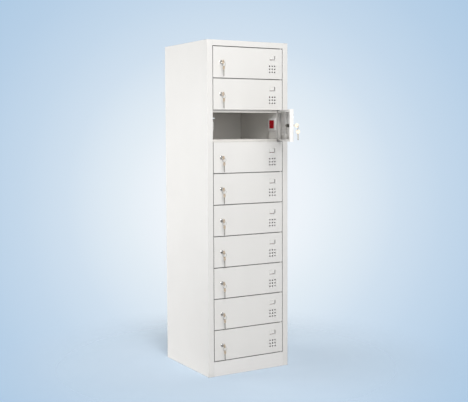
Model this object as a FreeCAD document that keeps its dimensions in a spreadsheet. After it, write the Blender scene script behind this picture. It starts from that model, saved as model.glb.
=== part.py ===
# Laptop charging cabinet: a steel tower with one column of lockable compartments.
# Right-handed frame in millimetres, +Z up. The origin is the middle of the base, on the floor.
# The doors face -Y and hang on pins near their right edge.
import FreeCAD, Part
import math
import os
import re
import Sketcher

# Driving dimensions, in millimetres, degrees and counts
SIZES = {
    # carcass
    "cabinet_height": 1780,
    "cabinet_width": 500,
    "cabinet_depth": 500,
    "gauge": 1,
    "bend_radius": 1.5,
    "stile_width": 32,
    "stile_depth": 26,
    "stile_lip": 16,
    "rear_flange": 20,
    "top_rail": 30,
    "plinth_height": 78,
    "base_tray": 15,
    # doors
    "door_count": 10,
    "door_gap": 4,
    "side_gap": 3,
    "door_thickness": 20,
    "door_lip": 12,
    "stiffener_width": 60,
    "stiffener_depth": 14,
    "open_door": 3,
    "open_angle": 65,
    # hinges
    "hinge_edge": 9.5,
    "hinge_setback": 7,
    "pin_radius": 2.5,
    "pin_clearance": 0.05,
    "pin_reach": 10,
    "bracket_plate": 2.4,
    "bracket_radius": 6,
    "bracket_foot": 20,
    "bracket_foot_gauge": 2,
    # shelves
    "stop_gap": 1,
    "shelf_lip": 24,
    "shelf_return": 14,
    "notch_gap": 0.5,
    # card holder and vents on each door
    "holder_inset": 44,
    "holder_drop": 35,
    "holder_width": 41,
    "holder_height": 28,
    "holder_proud": 1.5,
    "holder_rim": 3,
    "vent_inset": 48,
    "vent_drop": 93,
    "vent_pitch": 16.4,
    "vent_radius": 3.4,
    # locks and keys
    "lock_inset": 47,
    "rosette_radius": 11,
    "rosette_proud": 3,
    "barrel_radius": 9,
    "barrel_length": 29,
    "plug_radius": 6.5,
    "plug_clearance": 0.4,
    "nut_radius": 14,
    "nut_thickness": 5,
    "cam_gauge": 2,
    "cam_width": 16,
    "cam_reach": 42,
    "cam_gap": 0.4,
    "screw_radius": 4,
    "screw_head": 3,
    "key_gauge": 2,
    "key_bow": 11.5,
    "key_stand_off": 24,
    "key_hole": 2.5,
    "key_hole_rim": 3,
    "key_shank": 8,
    "key_blade": 33,
    "ring_radius": 11,
    "ring_wire": 1.4,
    "ring_clearance": 0.3,
    # latch keepers
    "keeper_gauge": 1.5,
    "keeper_finger": 7,
    "keeper_slot": 8.5,
    "keeper_reach": 20,
    # power duct and sockets
    "duct_width": 53,
    "duct_depth": 78,
    "socket_setback": 68.5,
    "socket_rise": 80,
    "plate_width": 64,
    "plate_height": 70,
    "plate_thickness": 7,
    "module_size": 45,
    "module_proud": 1.5,
    "module_clearance": 0.2,
    "module_body": 38,
    "module_body_depth": 26,
    "duct_hole_clearance": 1,
    "terminal_width": 24,
    "terminal_height": 30,
    # mains supply
    "cable_radius": 4,
    "cable_wall_gap": 5,
    "cable_bend": 40,
    "cable_top_margin": 60,
    "cable_sweep_start": 90,
    "cable_sweep_length": 90,
    "base_clip_setback": 200,
    "clip_length": 12,
    "clip_wall": 3,
    "clip_clearance": 0.1,
    "inlet_from_side": 50,
    "inlet_height": 40,
    "inlet_flange_width": 50,
    "inlet_flange_height": 24,
    "inlet_flange_gauge": 2.5,
    "inlet_body_width": 28,
    "inlet_body_height": 20,
    "inlet_body_depth": 27,
    "inlet_recess_width": 24,
    "inlet_recess_height": 16.5,
    "inlet_recess_depth": 15,
    "inlet_screw_radius": 1.8,
    "inlet_pin_pitch": 7,
    "inlet_pin_width": 2,
    "inlet_pin_height": 4,
    "inlet_pin_length": 12,
    # back panel
    "fixing_width": 400,
    "fixing_drop": 80,
    "fixing_radius": 4.5,
    "slot_length": 140,
    "slot_height": 6,
    "slot_drop": 12,
}

# Sizes that follow from the ones above
FORMULAS = {
    "left": "-cabinet_width / 2",
    "right": "cabinet_width / 2",
    "front": "-cabinet_depth / 2",
    "rear": "cabinet_depth / 2",
    "stile_edge": "cabinet_width / 2 - stile_width",
    "stile_back": "front + stile_depth",
    "rail_bottom": "cabinet_height - top_rail",
    "door_width": "cabinet_width - 2 * stile_width - 2 * side_gap",
    "door_height": "(rail_bottom - plinth_height - (door_count + 1) * door_gap) / door_count",
    "pitch": "door_height + door_gap",
    "first_gap": "rail_bottom - door_gap / 2",
    "last_gap": "plinth_height + door_gap / 2",
    "first_door": "first_gap - pitch / 2",
    "pivot_across": "stile_edge - side_gap - hinge_edge",
    "pivot_back": "front + hinge_setback",
    "stop_face": "front + door_thickness + stop_gap",
    "duct_face": "right - duct_width",
    "duct_back": "stile_back + duct_depth",
    "shelf_top": "first_gap - pitch + shelf_lip / 2",
    "socket_level": "shelf_top + socket_rise",
    "socket_depth": "front + socket_setback",
    "clearance_at_back": "rear - 2 * gauge",
    "cable_across": "right - gauge - cable_wall_gap - cable_radius",
    "inlet_across": "right - inlet_from_side",
    "inlet_front": "rear - gauge - inlet_body_depth",
    "inlet_mouth": "rear - gauge + inlet_flange_gauge",
    "keeper_height": "3 * keeper_finger + 2 * keeper_slot",
    # a door is drawn around its own hinge axis, at its mid height
    "door_free_edge": "hinge_edge - door_width",
    "door_face": "-hinge_setback",
    "door_back": "door_thickness - hinge_setback",
    "lock_across": "door_free_edge + lock_inset",
    "barrel_end": "door_face + barrel_length",
    "plug_end": "barrel_end + cam_gap",
    "bow_centre": "door_face - key_stand_off",
    "ring_pivot": "bow_centre - key_bow + key_hole_rim + key_hole",
    # the ring's wire lies in the bottom of the key's hole, and the spare key hangs in the ring
    "wire_drop": "key_hole - ring_wire / 2 - ring_clearance",
    "spare_hole_drop": "2 * wire_drop + 2 * ring_radius",
    "spare_bow_drop": "spare_hole_drop + key_bow - key_hole_rim - key_hole",
}

# Small round pieces that are made ten times over are polygons with this many corners
ROUND_CORNERS = 8
HOLE_CORNERS = 6
KEY_HOLE_CORNERS = 4

doc = FreeCAD.newDocument("charging_cabinet")
sizes = doc.addObject("Spreadsheet::Sheet", "sizes")
for row, (alias, value) in enumerate(SIZES.items(), start=1):
    sizes.set(f"A{row}", alias)
    sizes.set(f"B{row}", str(value))
    sizes.setAlias(f"B{row}", alias)
doc.recompute()


def bound(formula):
    """The formula with every name pointed at its cell of the sheet."""
    def point(match):
        name = match.group()
        if name in FORMULAS:
            return "(" + bound(FORMULAS[name]) + ")"
        return "sizes." + name
    return re.sub(r"[a-z][a-z_]*", point, str(formula))


def value_of(formula):
    return float(sizes.evalExpression(bound(formula)))


def bind(thing, prop, formula):
    thing.setExpression(prop, bound(formula))


# Building blocks: bodies, sketches and the features on them
def new_body(label):
    body = doc.addObject("PartDesign::Body", label)
    body.Label = label
    return body


def origin_feature(body, role):
    return next(item for item in body.Origin.OriginFeatures if item.Role == role)


def new_sketch(body, name, role, start):
    """A sketch on one of the body's origin planes, moved along the plane's axis to start."""
    sketch = body.newObject("Sketcher::SketchObject", f"{body.Label}_{name}")
    sketch.AttachmentSupport = [(origin_feature(body, role), "")]
    sketch.MapMode = "FlatFace"
    along_normal = f"-({start})" if role == "XZ_Plane" else start
    bind(sketch, "AttachmentOffset.Base.z", along_normal)
    return sketch


def hold(sketch, kind, geometry, point, formula, value):
    """Tie one coordinate of a point to its formula."""
    index = sketch.addConstraint(Sketcher.Constraint(kind, -1, 1, geometry, point, value))
    bind(sketch, f"Constraints[{index}]", formula)


def outline(sketch, corners):
    """A closed run of straight lines through corners given as pairs of formulas."""
    points = [FreeCAD.Vector(value_of(across), value_of(up), 0) for across, up in corners]
    first = sketch.GeometryCount
    count = len(points)
    for index in range(count):
        sketch.addGeometry(Part.LineSegment(points[index], points[(index + 1) % count]))
    for index in range(count):
        following = first + (index + 1) % count
        sketch.addConstraint(Sketcher.Constraint("Coincident", first + index, 2, following, 1))
    for index, (across, up) in enumerate(corners):
        hold(sketch, "DistanceX", first + index, 1, across, points[index].x)
        hold(sketch, "DistanceY", first + index, 1, up, points[index].y)


def rectangle(sketch, low_across, high_across, low_up, high_up):
    outline(sketch, [
        (low_across, low_up), (high_across, low_up), (high_across, high_up), (low_across, high_up),
    ])


def centred_rectangle(sketch, across, up, width, height):
    rectangle(sketch, f"{across} - ({width}) / 2", f"{across} + ({width}) / 2",
              f"{up} - ({height}) / 2", f"{up} + ({height}) / 2")


def polygon(sketch, across, up, radius, corners, flats=False):
    """A regular polygon with its corners on the circle, or its flats where it is a hole for such a shaft."""
    reach = 1 / math.cos(math.pi / corners) if flats else 1
    points = []
    for step in range(corners):
        angle = 2 * math.pi * (step + 0.5) / corners
        points.append((f"{across} + ({radius}) * ({reach * math.cos(angle):.6f})",
                       f"{up} + ({radius}) * ({reach * math.sin(angle):.6f})"))
    outline(sketch, points)


def circle(sketch, across, up, radius):
    centre = FreeCAD.Vector(value_of(across), value_of(up), 0)
    index = sketch.addGeometry(Part.Circle(centre, FreeCAD.Vector(0, 0, 1), value_of(radius)))
    hold(sketch, "DistanceX", index, 3, across, centre.x)
    hold(sketch, "DistanceY", index, 3, up, centre.y)
    constraint = sketch.addConstraint(Sketcher.Constraint("Radius", index, value_of(radius)))
    bind(sketch, f"Constraints[{constraint}]", radius)


def key_plate(sketch, bow_across, bow_up, facing, tip_reach):
    """A key's flat outline: an eight-sided bow, and a shank that leaves it in the facing direction."""
    corners = []
    for step in range(ROUND_CORNERS):
        angle = math.radians(facing + 360 * (step + 0.5) / ROUND_CORNERS)
        corners.append((f"{bow_across} + key_bow * ({math.cos(angle):.6f})",
                        f"{bow_up} + key_bow * ({math.sin(angle):.6f})"))
    along_across, along_up = round(math.cos(math.radians(facing))), round(math.sin(math.radians(facing)))
    for side in (-1, 1):
        corners.append((f"{bow_across} + {along_across} * ({tip_reach}) - {side * along_up} * key_shank / 2",
                        f"{bow_up} + {along_up} * ({tip_reach}) + {side * along_across} * key_shank / 2"))
    outline(sketch, corners)


def slot(sketch, across, up, length, height):
    """A level slot whose ends are drawn in by half its height."""
    half, straight = f"({length}) / 2", f"(({length}) - ({height})) / 2"
    low, high = f"{up} - ({height}) / 2", f"{up} + ({height}) / 2"
    outline(sketch, [
        (f"{across} - {straight}", low), (f"{across} + {straight}", low), (f"{across} + {half}", up),
        (f"{across} + {straight}", high), (f"{across} - {straight}", high), (f"{across} - {half}", up),
    ])


def pad(body, name, role, start, end, draw):
    """Material from start to end along the plane's axis, over the outline that draw makes."""
    sketch = new_sketch(body, f"{name}_sketch", role, start)
    draw(sketch)
    feature = body.newObject("PartDesign::Pad", f"{body.Label}_{name}")
    feature.Profile = sketch
    feature.Reversed = role == "XZ_Plane"
    bind(feature, "Length", f"({end}) - ({start})")
    return feature


def pocket(body, name, role, start, end, draw):
    """A cut from start to end along the plane's axis, which has to remove material."""
    doc.recompute()
    before = body.Shape.Volume
    sketch = new_sketch(body, f"{name}_sketch", role, start)
    draw(sketch)
    feature = body.newObject("PartDesign::Pocket", f"{body.Label}_{name}")
    feature.Profile = sketch
    feature.Reversed = role != "XZ_Plane"
    bind(feature, "Length", f"({end}) - ({start})")
    doc.recompute()
    if body.Shape.Volume >= before:
        raise RuntimeError(f"{body.Label}: {name} cuts nothing")
    return feature


def dress_edges(body, name, base, size, wanted, kind="Fillet"):
    """Fillet or chamfer the edges of the base feature that wanted picks by their middle and direction."""
    doc.recompute()
    names = []
    for index, edge in enumerate(base.Shape.Edges, start=1):
        if edge.Curve.TypeId != "Part::GeomLine":
            continue
        middle = (edge.Vertexes[0].Point + edge.Vertexes[-1].Point) * 0.5
        along = edge.Vertexes[-1].Point - edge.Vertexes[0].Point
        if wanted(middle, along.normalize()):
            names.append(f"Edge{index}")
    feature = body.newObject(f"PartDesign::{kind}", f"{body.Label}_{name}")
    feature.Base = (base, names)
    bind(feature, "Radius" if kind == "Fillet" else "Size", size)
    return feature


def repeat(body, name, copies, spacing, originals, whole=False):
    """Copies of features, or of the whole body, going down from the first at an even spacing."""
    feature = body.newObject("PartDesign::LinearPattern", f"{body.Label}_{name}")
    feature.Originals = originals
    if whole:
        feature.TransformMode = "Whole shape"
    feature.Direction = (origin_feature(body, "Z_Axis"), [""])
    feature.Reversed = True
    feature.Mode = "Spacing"
    bind(feature, "Occurrences", copies)
    bind(feature, "Offset", spacing)
    body.Tip = feature
    return feature


def near(number, formula):
    return abs(number - value_of(formula)) < 0.01


# Carcass: side panels with the door stiles folded on their front edges
def side_panel(label, side):
    """A side sheet, its front stile with return and lip, and its rear flange, in one piece."""
    def drawn(sketch):
        mirrored = [
            ("right", "rear"), ("right", "front"), ("stile_edge", "front"),
            ("stile_edge", "stile_back"), ("stile_edge + stile_lip", "stile_back"),
            ("stile_edge + stile_lip", "stile_back - gauge"), ("stile_edge + gauge", "stile_back - gauge"),
            ("stile_edge + gauge", "front + gauge"), ("right - gauge", "front + gauge"),
            ("right - gauge", "rear - gauge"), ("right - rear_flange", "rear - gauge"),
            ("right - rear_flange", "rear"),
        ]
        outline(sketch, [(f"{side} * ({across})", back) for across, back in mirrored])

    body = new_body(label)
    sheet = pad(body, "sheet", "XY_Plane", "0", "cabinet_height - gauge", drawn)

    def front_bend(middle, along):
        outer = near(abs(middle.x), "right") or near(abs(middle.x), "stile_edge")
        return abs(along.z) > 0.99 and outer and near(middle.y, "front")

    def rear_bend(middle, along):
        return abs(along.z) > 0.99 and near(abs(middle.x), "right") and near(middle.y, "rear")

    bends = dress_edges(body, "front_bends", sheet, "bend_radius", front_bend)
    dress_edges(body, "rear_bend", bends, "bend_radius", rear_bend, kind="Chamfer")
    return body


def top_panel():
    """The top sheet with the top rail, its return and the stop lip of the first door."""
    body = new_body("top_panel")
    pad(body, "sheet", "XY_Plane", "cabinet_height - gauge", "cabinet_height",
        lambda sketch: rectangle(sketch, "left", "right", "front", "rear"))
    pad(body, "rail", "XZ_Plane", "front", "front + gauge",
        lambda sketch: rectangle(sketch, "-stile_edge", "stile_edge", "rail_bottom", "cabinet_height - gauge"))
    pad(body, "rail_return", "XY_Plane", "rail_bottom", "rail_bottom + gauge",
        lambda sketch: rectangle(sketch, "-stile_edge", "stile_edge", "front", "stop_face"))
    pad(body, "stop_lip", "XZ_Plane", "stop_face", "stop_face + gauge",
        lambda sketch: rectangle(sketch, "-stile_edge", "duct_face - notch_gap",
                                 "first_gap - shelf_lip / 2", "rail_bottom + gauge"))
    pad(body, "rear_flange", "XZ_Plane", "rear - gauge", "rear",
        lambda sketch: rectangle(sketch, "left + rear_flange", "right - rear_flange",
                                 "cabinet_height - rear_flange", "cabinet_height - gauge"))
    return body


def plinth_panel():
    """The kick plate between the stiles, folded back at its top and bottom."""
    body = new_body("plinth_panel")
    pad(body, "plate", "XZ_Plane", "front", "front + gauge",
        lambda sketch: rectangle(sketch, "-stile_edge", "stile_edge", "0", "plinth_height"))
    pad(body, "top_return", "XY_Plane", "plinth_height - gauge", "plinth_height",
        lambda sketch: rectangle(sketch, "-stile_edge", "stile_edge", "front", "stop_face"))
    pad(body, "bottom_return", "XY_Plane", "0", "gauge",
        lambda sketch: rectangle(sketch, "-stile_edge", "stile_edge", "front", "stop_face"))
    return body


def hollow(body, name, base, level):
    """Shell a block into a folded tray that is open on its level face."""
    doc.recompute()
    open_face = next(f"Face{index}" for index, face in enumerate(base.Shape.Faces, start=1)
                     if near(face.CenterOfMass.z, level) and abs(face.normalAt(0, 0).z) > 0.99)
    shell = body.newObject("PartDesign::Thickness", f"{body.Label}_{name}")
    shell.Base = (base, [open_face])
    bind(shell, "Value", "gauge")
    shell.Reversed = True
    shell.Join = "Intersection"
    return shell


def bottom_panel():
    """A shallow tray that closes the base and ties the side panels together."""
    body = new_body("bottom_panel")
    plan = [
        ("left + gauge", "clearance_at_back"), ("left + gauge", "stile_back"),
        ("notch_gap - stile_edge", "stile_back"), ("notch_gap - stile_edge", "stop_face"),
        ("stile_edge - notch_gap", "stop_face"), ("stile_edge - notch_gap", "stile_back"),
        ("right - gauge", "stile_back"), ("right - gauge", "clearance_at_back"),
    ]
    block = pad(body, "block", "XY_Plane", "0", "base_tray", lambda sketch: outline(sketch, plan))
    hollow(body, "tray", block, "base_tray")
    return body


def back_panel():
    """The rear sheet with vent slots behind each compartment, wall fixing holes and the inlet cut-out."""
    body = new_body("back_panel")
    pad(body, "sheet", "XZ_Plane", "clearance_at_back", "rear - gauge",
        lambda sketch: rectangle(sketch, "left + gauge", "right - gauge", "0", "cabinet_height - gauge"))

    level = "first_gap - shelf_lip - slot_drop"
    vent = pocket(body, "vent_slot", "XZ_Plane", "clearance_at_back", "rear - gauge",
                  lambda sketch: slot(sketch, "0", level, "slot_length", "slot_height"))
    repeat(body, "vent_slots", "door_count", "pitch", [vent])

    def fixings(sketch):
        for side in (-1, 1):
            circle(sketch, f"{side} * fixing_width / 2", "cabinet_height - fixing_drop", "fixing_radius")

    pocket(body, "wall_fixings", "XZ_Plane", "clearance_at_back", "rear - gauge", fixings)
    pocket(body, "inlet_opening", "XZ_Plane", "clearance_at_back", "rear - gauge",
           lambda sketch: centred_rectangle(sketch, "inlet_across", "inlet_height",
                                            "inlet_body_width + notch_gap", "inlet_body_height + notch_gap"))
    return body


def shelves():
    """One folded tray under each compartment, notched round the stiles and the power duct."""
    body = new_body("shelves")
    plan = [
        ("left + gauge", "clearance_at_back"), ("left + gauge", "stile_back"),
        ("notch_gap - stile_edge", "stile_back"), ("notch_gap - stile_edge", "stop_face"),
        ("duct_face - notch_gap", "stop_face"), ("duct_face - notch_gap", "duct_back + notch_gap"),
        ("right - gauge", "duct_back + notch_gap"), ("right - gauge", "clearance_at_back"),
    ]
    block = pad(body, "block", "XY_Plane", "shelf_top - shelf_lip", "shelf_top",
                lambda sketch: outline(sketch, plan))
    hollow(body, "tray", block, "shelf_top - shelf_lip")
    pad(body, "front_channel", "XY_Plane", "shelf_top - shelf_lip", "shelf_top - shelf_lip + gauge",
        lambda sketch: rectangle(sketch, "notch_gap - stile_edge", "duct_face - notch_gap",
                                 "stop_face", "stop_face + shelf_return"))
    repeat(body, "column", "door_count", "pitch", [], whole=True)
    return body


# Power duct, sockets and the mains supply
def power_duct():
    """The vertical channel in the front right corner, with an opening behind each socket plate."""
    body = new_body("power_duct")
    profile = [
        ("right - gauge", "stile_back"), ("duct_face", "stile_back"), ("duct_face", "duct_back"),
        ("right - gauge", "duct_back"), ("right - gauge", "duct_back - gauge"),
        ("duct_face + gauge", "duct_back - gauge"), ("duct_face + gauge", "stile_back + gauge"),
        ("right - gauge", "stile_back + gauge"),
    ]
    pad(body, "channel", "XY_Plane", "last_gap - shelf_lip / 2", "cabinet_height - gauge",
        lambda sketch: outline(sketch, profile))
    opening = pocket(body, "socket_opening", "YZ_Plane", "duct_face", "duct_face + gauge",
                     lambda sketch: centred_rectangle(sketch, "socket_depth", "socket_level",
                                                      "module_body + 2 * duct_hole_clearance",
                                                      "module_body + 2 * duct_hole_clearance"))
    repeat(body, "socket_openings", "door_count", "pitch", [opening])
    return body


def socket_plates():
    """The raised plates round the sockets, on the duct's inner face."""
    body = new_body("socket_plates")
    pad(body, "plate", "YZ_Plane", "duct_face - plate_thickness", "duct_face",
        lambda sketch: centred_rectangle(sketch, "socket_depth", "socket_level",
                                         "plate_width", "plate_height"))
    pocket(body, "window", "YZ_Plane", "duct_face - plate_thickness", "duct_face",
           lambda sketch: centred_rectangle(sketch, "socket_depth", "socket_level",
                                            "module_size + 2 * module_clearance",
                                            "module_size + 2 * module_clearance"))
    repeat(body, "column", "door_count", "pitch", [], whole=True)
    return body


def socket_modules():
    """The square socket modules: a face in the plate's window and a body that goes into the duct."""
    body = new_body("socket_modules")
    pad(body, "face", "YZ_Plane", "duct_face - plate_thickness - module_proud", "duct_face",
        lambda sketch: centred_rectangle(sketch, "socket_depth", "socket_level", "module_size", "module_size"))
    pad(body, "body", "YZ_Plane", "duct_face", "duct_face + module_body_depth",
        lambda sketch: centred_rectangle(sketch, "socket_depth", "socket_level", "module_body", "module_body"))
    repeat(body, "column", "door_count", "pitch", [], whole=True)
    return body


def terminal_blocks():
    """The blocks that join each socket module to the supply cable."""
    body = new_body("terminal_blocks")
    beside_cable = "cable_across - cable_radius - clip_clearance"
    pad(body, "block", "YZ_Plane", "duct_face + module_body_depth", beside_cable,
        lambda sketch: centred_rectangle(sketch, "socket_depth", "socket_level",
                                         "terminal_width", "terminal_height"))
    repeat(body, "column", "door_count", "pitch", [], whole=True)
    return body


def hexagon(centre, radius):
    """Corners of an upright hexagon across the Y axis, closed."""
    turns = [math.radians(60 * step) for step in range(7)]
    return [centre + FreeCAD.Vector(radius * math.cos(turn), 0, radius * math.sin(turn)) for turn in turns]


def supply_cable():
    """The cable from the inlet, under the lowest shelf and up the duct: straight runs and tangent arcs."""
    across, level = value_of("cable_across"), value_of("inlet_height")
    inlet_across = value_of("inlet_across")
    start = FreeCAD.Vector(inlet_across, value_of("inlet_front"), level)
    sweep_begin = start - FreeCAD.Vector(0, value_of("cable_sweep_start"), 0)
    sweep_end = FreeCAD.Vector(across, sweep_begin.y - value_of("cable_sweep_length"), level)
    foot = FreeCAD.Vector(across, value_of("socket_depth"), level)
    top = FreeCAD.Vector(across, foot.y, value_of("cabinet_height - top_rail - cable_top_margin"))
    points = [start, sweep_begin, sweep_end, foot, top]
    edges = []
    here = start
    for before, corner, after in zip(points, points[1:], points[2:]):
        into, out = (corner - before).normalize(), (after - corner).normalize()
        half_turn = into.getAngle(out) / 2
        shorter = min(before.distanceToPoint(corner), corner.distanceToPoint(after))
        radius = 0.45 * shorter / math.tan(half_turn)
        if corner is foot:
            radius = value_of("cable_bend")
        back = radius * math.tan(half_turn)
        arc_start, arc_end = corner - into * back, corner + out * back
        bisector = (out - into).normalize()
        middle = corner + bisector * (radius / math.cos(half_turn) - radius)
        edges.append(Part.LineSegment(here, arc_start).toShape())
        edges.append(Part.Arc(arc_start, middle, arc_end).toShape())
        print(f"supply cable bend radius {radius:.1f} mm")
        here = arc_end
    edges.append(Part.LineSegment(here, top).toShape())
    path = Part.Wire(edges)
    section = Part.Wire(Part.makePolygon(hexagon(start, value_of("cable_radius"))))
    tube = path.makePipeShell([section], True, False)
    drawn = Part.Face(section).Area * path.Length
    print(f"supply cable length {path.Length:.0f} mm, volume {tube.Volume / drawn:.4f} of its section's")
    cable = doc.addObject("Part::Feature", "supply_cable")
    cable.Shape = tube
    return cable


def cable_clips():
    """Saddles that hold the supply cable to the right side panel, between the sockets and in the base."""
    body = new_body("cable_clips")
    hold_radius = "(cable_radius + clip_clearance)"
    half = f"({hold_radius} + clip_wall)"

    def saddle(sketch, middle):
        outline(sketch, [
            ("right - gauge", f"{middle} - {half}"), ("right - gauge", f"{middle} - {hold_radius}"),
            (f"cable_across - {hold_radius}", f"{middle} - {hold_radius}"),
            (f"cable_across - {hold_radius}", f"{middle} + {hold_radius}"),
            ("right - gauge", f"{middle} + {hold_radius}"), ("right - gauge", f"{middle} + {half}"),
            (f"cable_across - {half}", f"{middle} + {half}"), (f"cable_across - {half}", f"{middle} - {half}"),
        ])

    level = "socket_level - pitch / 2"
    pad(body, "riser_clip", "XY_Plane", f"{level} - clip_length / 2", f"{level} + clip_length / 2",
        lambda sketch: saddle(sketch, "socket_depth"))
    repeat(body, "riser_clips", "door_count / 2", "2 * pitch", [], whole=True)
    near_end = "front + base_clip_setback"
    base = pad(body, "base_clip", "XZ_Plane", near_end, f"{near_end} + clip_length",
               lambda sketch: saddle(sketch, "inlet_height"))
    body.Tip = base
    return body


def mains_inlet():
    """The appliance inlet in the back panel: a flange outside, a body inside and an open recess."""
    body = new_body("mains_inlet")
    pad(body, "flange", "XZ_Plane", "rear - gauge", "rear - gauge + inlet_flange_gauge",
        lambda sketch: centred_rectangle(sketch, "inlet_across", "inlet_height",
                                         "inlet_flange_width", "inlet_flange_height"))
    pad(body, "body", "XZ_Plane", "inlet_front", "rear - gauge",
        lambda sketch: centred_rectangle(sketch, "inlet_across", "inlet_height",
                                         "inlet_body_width", "inlet_body_height"))

    def recess(sketch):
        low = "inlet_height - inlet_recess_height / 2"
        high = "inlet_height + inlet_recess_height / 2"
        half = "inlet_recess_width / 2"
        cut = "inlet_recess_height / 3"
        outline(sketch, [
            (f"inlet_across - {half}", low), (f"inlet_across + {half}", low),
            (f"inlet_across + {half}", f"{high} - {cut}"), (f"inlet_across + {half} - {cut}", high),
            (f"inlet_across - {half} + {cut}", high), (f"inlet_across - {half}", f"{high} - {cut}"),
        ])

    pocket(body, "recess", "XZ_Plane", "inlet_mouth - inlet_recess_depth", "inlet_mouth", recess)

    def screw_holes(sketch):
        for side in (-1, 1):
            polygon(sketch, f"inlet_across + {side} * (inlet_flange_width + inlet_body_width) / 4",
                    "inlet_height", "inlet_screw_radius", HOLE_CORNERS, flats=True)

    pocket(body, "screw_holes", "XZ_Plane", "rear - gauge", "inlet_mouth", screw_holes)
    return body


def inlet_pins():
    """The three flat contact pins on the floor of the inlet's recess."""
    body = new_body("inlet_pins")

    def pins(sketch):
        for column, row in ((-1, -1), (1, -1), (0, 1)):
            centred_rectangle(sketch, f"inlet_across + {column} * inlet_pin_pitch",
                              f"inlet_height + {row} * inlet_pin_height / 2 - gauge",
                              "inlet_pin_width", "inlet_pin_height")

    pad(body, "blades", "XZ_Plane", "inlet_mouth - inlet_recess_depth",
        "inlet_mouth - inlet_recess_depth + inlet_pin_length", pins)
    return body


# Hinges and latch keepers
def hinge_brackets():
    """A foot on the duct and a tab with a blunt nose in each gap, with the hinge pin's hole."""
    body = new_body("hinge_brackets")
    level = "first_gap"
    back = "stile_back - bracket_foot_gauge"

    def tab(sketch):
        corners = [("pivot_across - bracket_radius", back), ("pivot_across + bracket_radius", back)]
        for turn in (0, 60, 120, 180):
            angle = math.radians(turn)
            corners.append((f"pivot_across + bracket_radius * ({math.cos(angle):.6f})",
                            f"pivot_back - bracket_radius * {math.sin(angle):.6f}"))
        outline(sketch, corners)

    pad(body, "tab", "XY_Plane", f"{level} - bracket_plate / 2", f"{level} + bracket_plate / 2", tab)
    pad(body, "foot", "XZ_Plane", "stile_back - bracket_foot_gauge", "stile_back",
        lambda sketch: rectangle(sketch, "duct_face + notch_gap", "pivot_across + 2 * bracket_radius",
                                 f"{level} - bracket_foot / 2", f"{level} + bracket_foot / 2"))
    pocket(body, "pin_hole", "XY_Plane", f"{level} - bracket_plate", f"{level} + bracket_plate",
           lambda sketch: polygon(sketch, "pivot_across", "pivot_back", "pin_radius + pin_clearance",
                                  HOLE_CORNERS, flats=True))
    repeat(body, "column", "door_count + 1", "pitch", [], whole=True)
    return body


def hinge_pins():
    """The pins on the hinge line: through each bracket, and stopped short at the rail and the plinth."""
    body = new_body("hinge_pins")
    short = "door_gap / 2 - clip_clearance"

    def drawn(sketch):
        circle(sketch, "pivot_across", "pivot_back", "pin_radius")

    pad(body, "pin", "XY_Plane", "first_gap - pitch - pin_reach", "first_gap - pitch + pin_reach", drawn)
    repeat(body, "column", "door_count - 1", "pitch", [], whole=True)
    pad(body, "top_pin", "XY_Plane", "first_gap - pin_reach", f"first_gap + {short}", drawn)
    last = pad(body, "bottom_pin", "XY_Plane", f"last_gap - ({short})", "last_gap + pin_reach", drawn)
    body.Tip = last
    return body


def latch_keepers():
    """Comb-shaped plates behind the left stile, which the lock cams hook behind."""
    body = new_body("latch_keepers")
    root, tip = "-stile_edge", "keeper_reach - stile_edge"
    corners = [("-stile_edge - stile_lip", "first_door - keeper_height / 2")]
    for finger in range(3):
        low = f"first_door - keeper_height / 2 + {finger} * (keeper_finger + keeper_slot)"
        high = f"{low} + keeper_finger"
        if finger > 0:
            corners.append((root, low))
        corners += [(tip, low), (tip, high)]
        if finger < 2:
            corners.append((root, high))
    corners.append(("-stile_edge - stile_lip", "first_door + keeper_height / 2"))
    pad(body, "comb", "XZ_Plane", "stile_back", "stile_back + keeper_gauge",
        lambda sketch: outline(sketch, corners))
    repeat(body, "column", "door_count", "pitch", [], whole=True)
    return body


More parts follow.
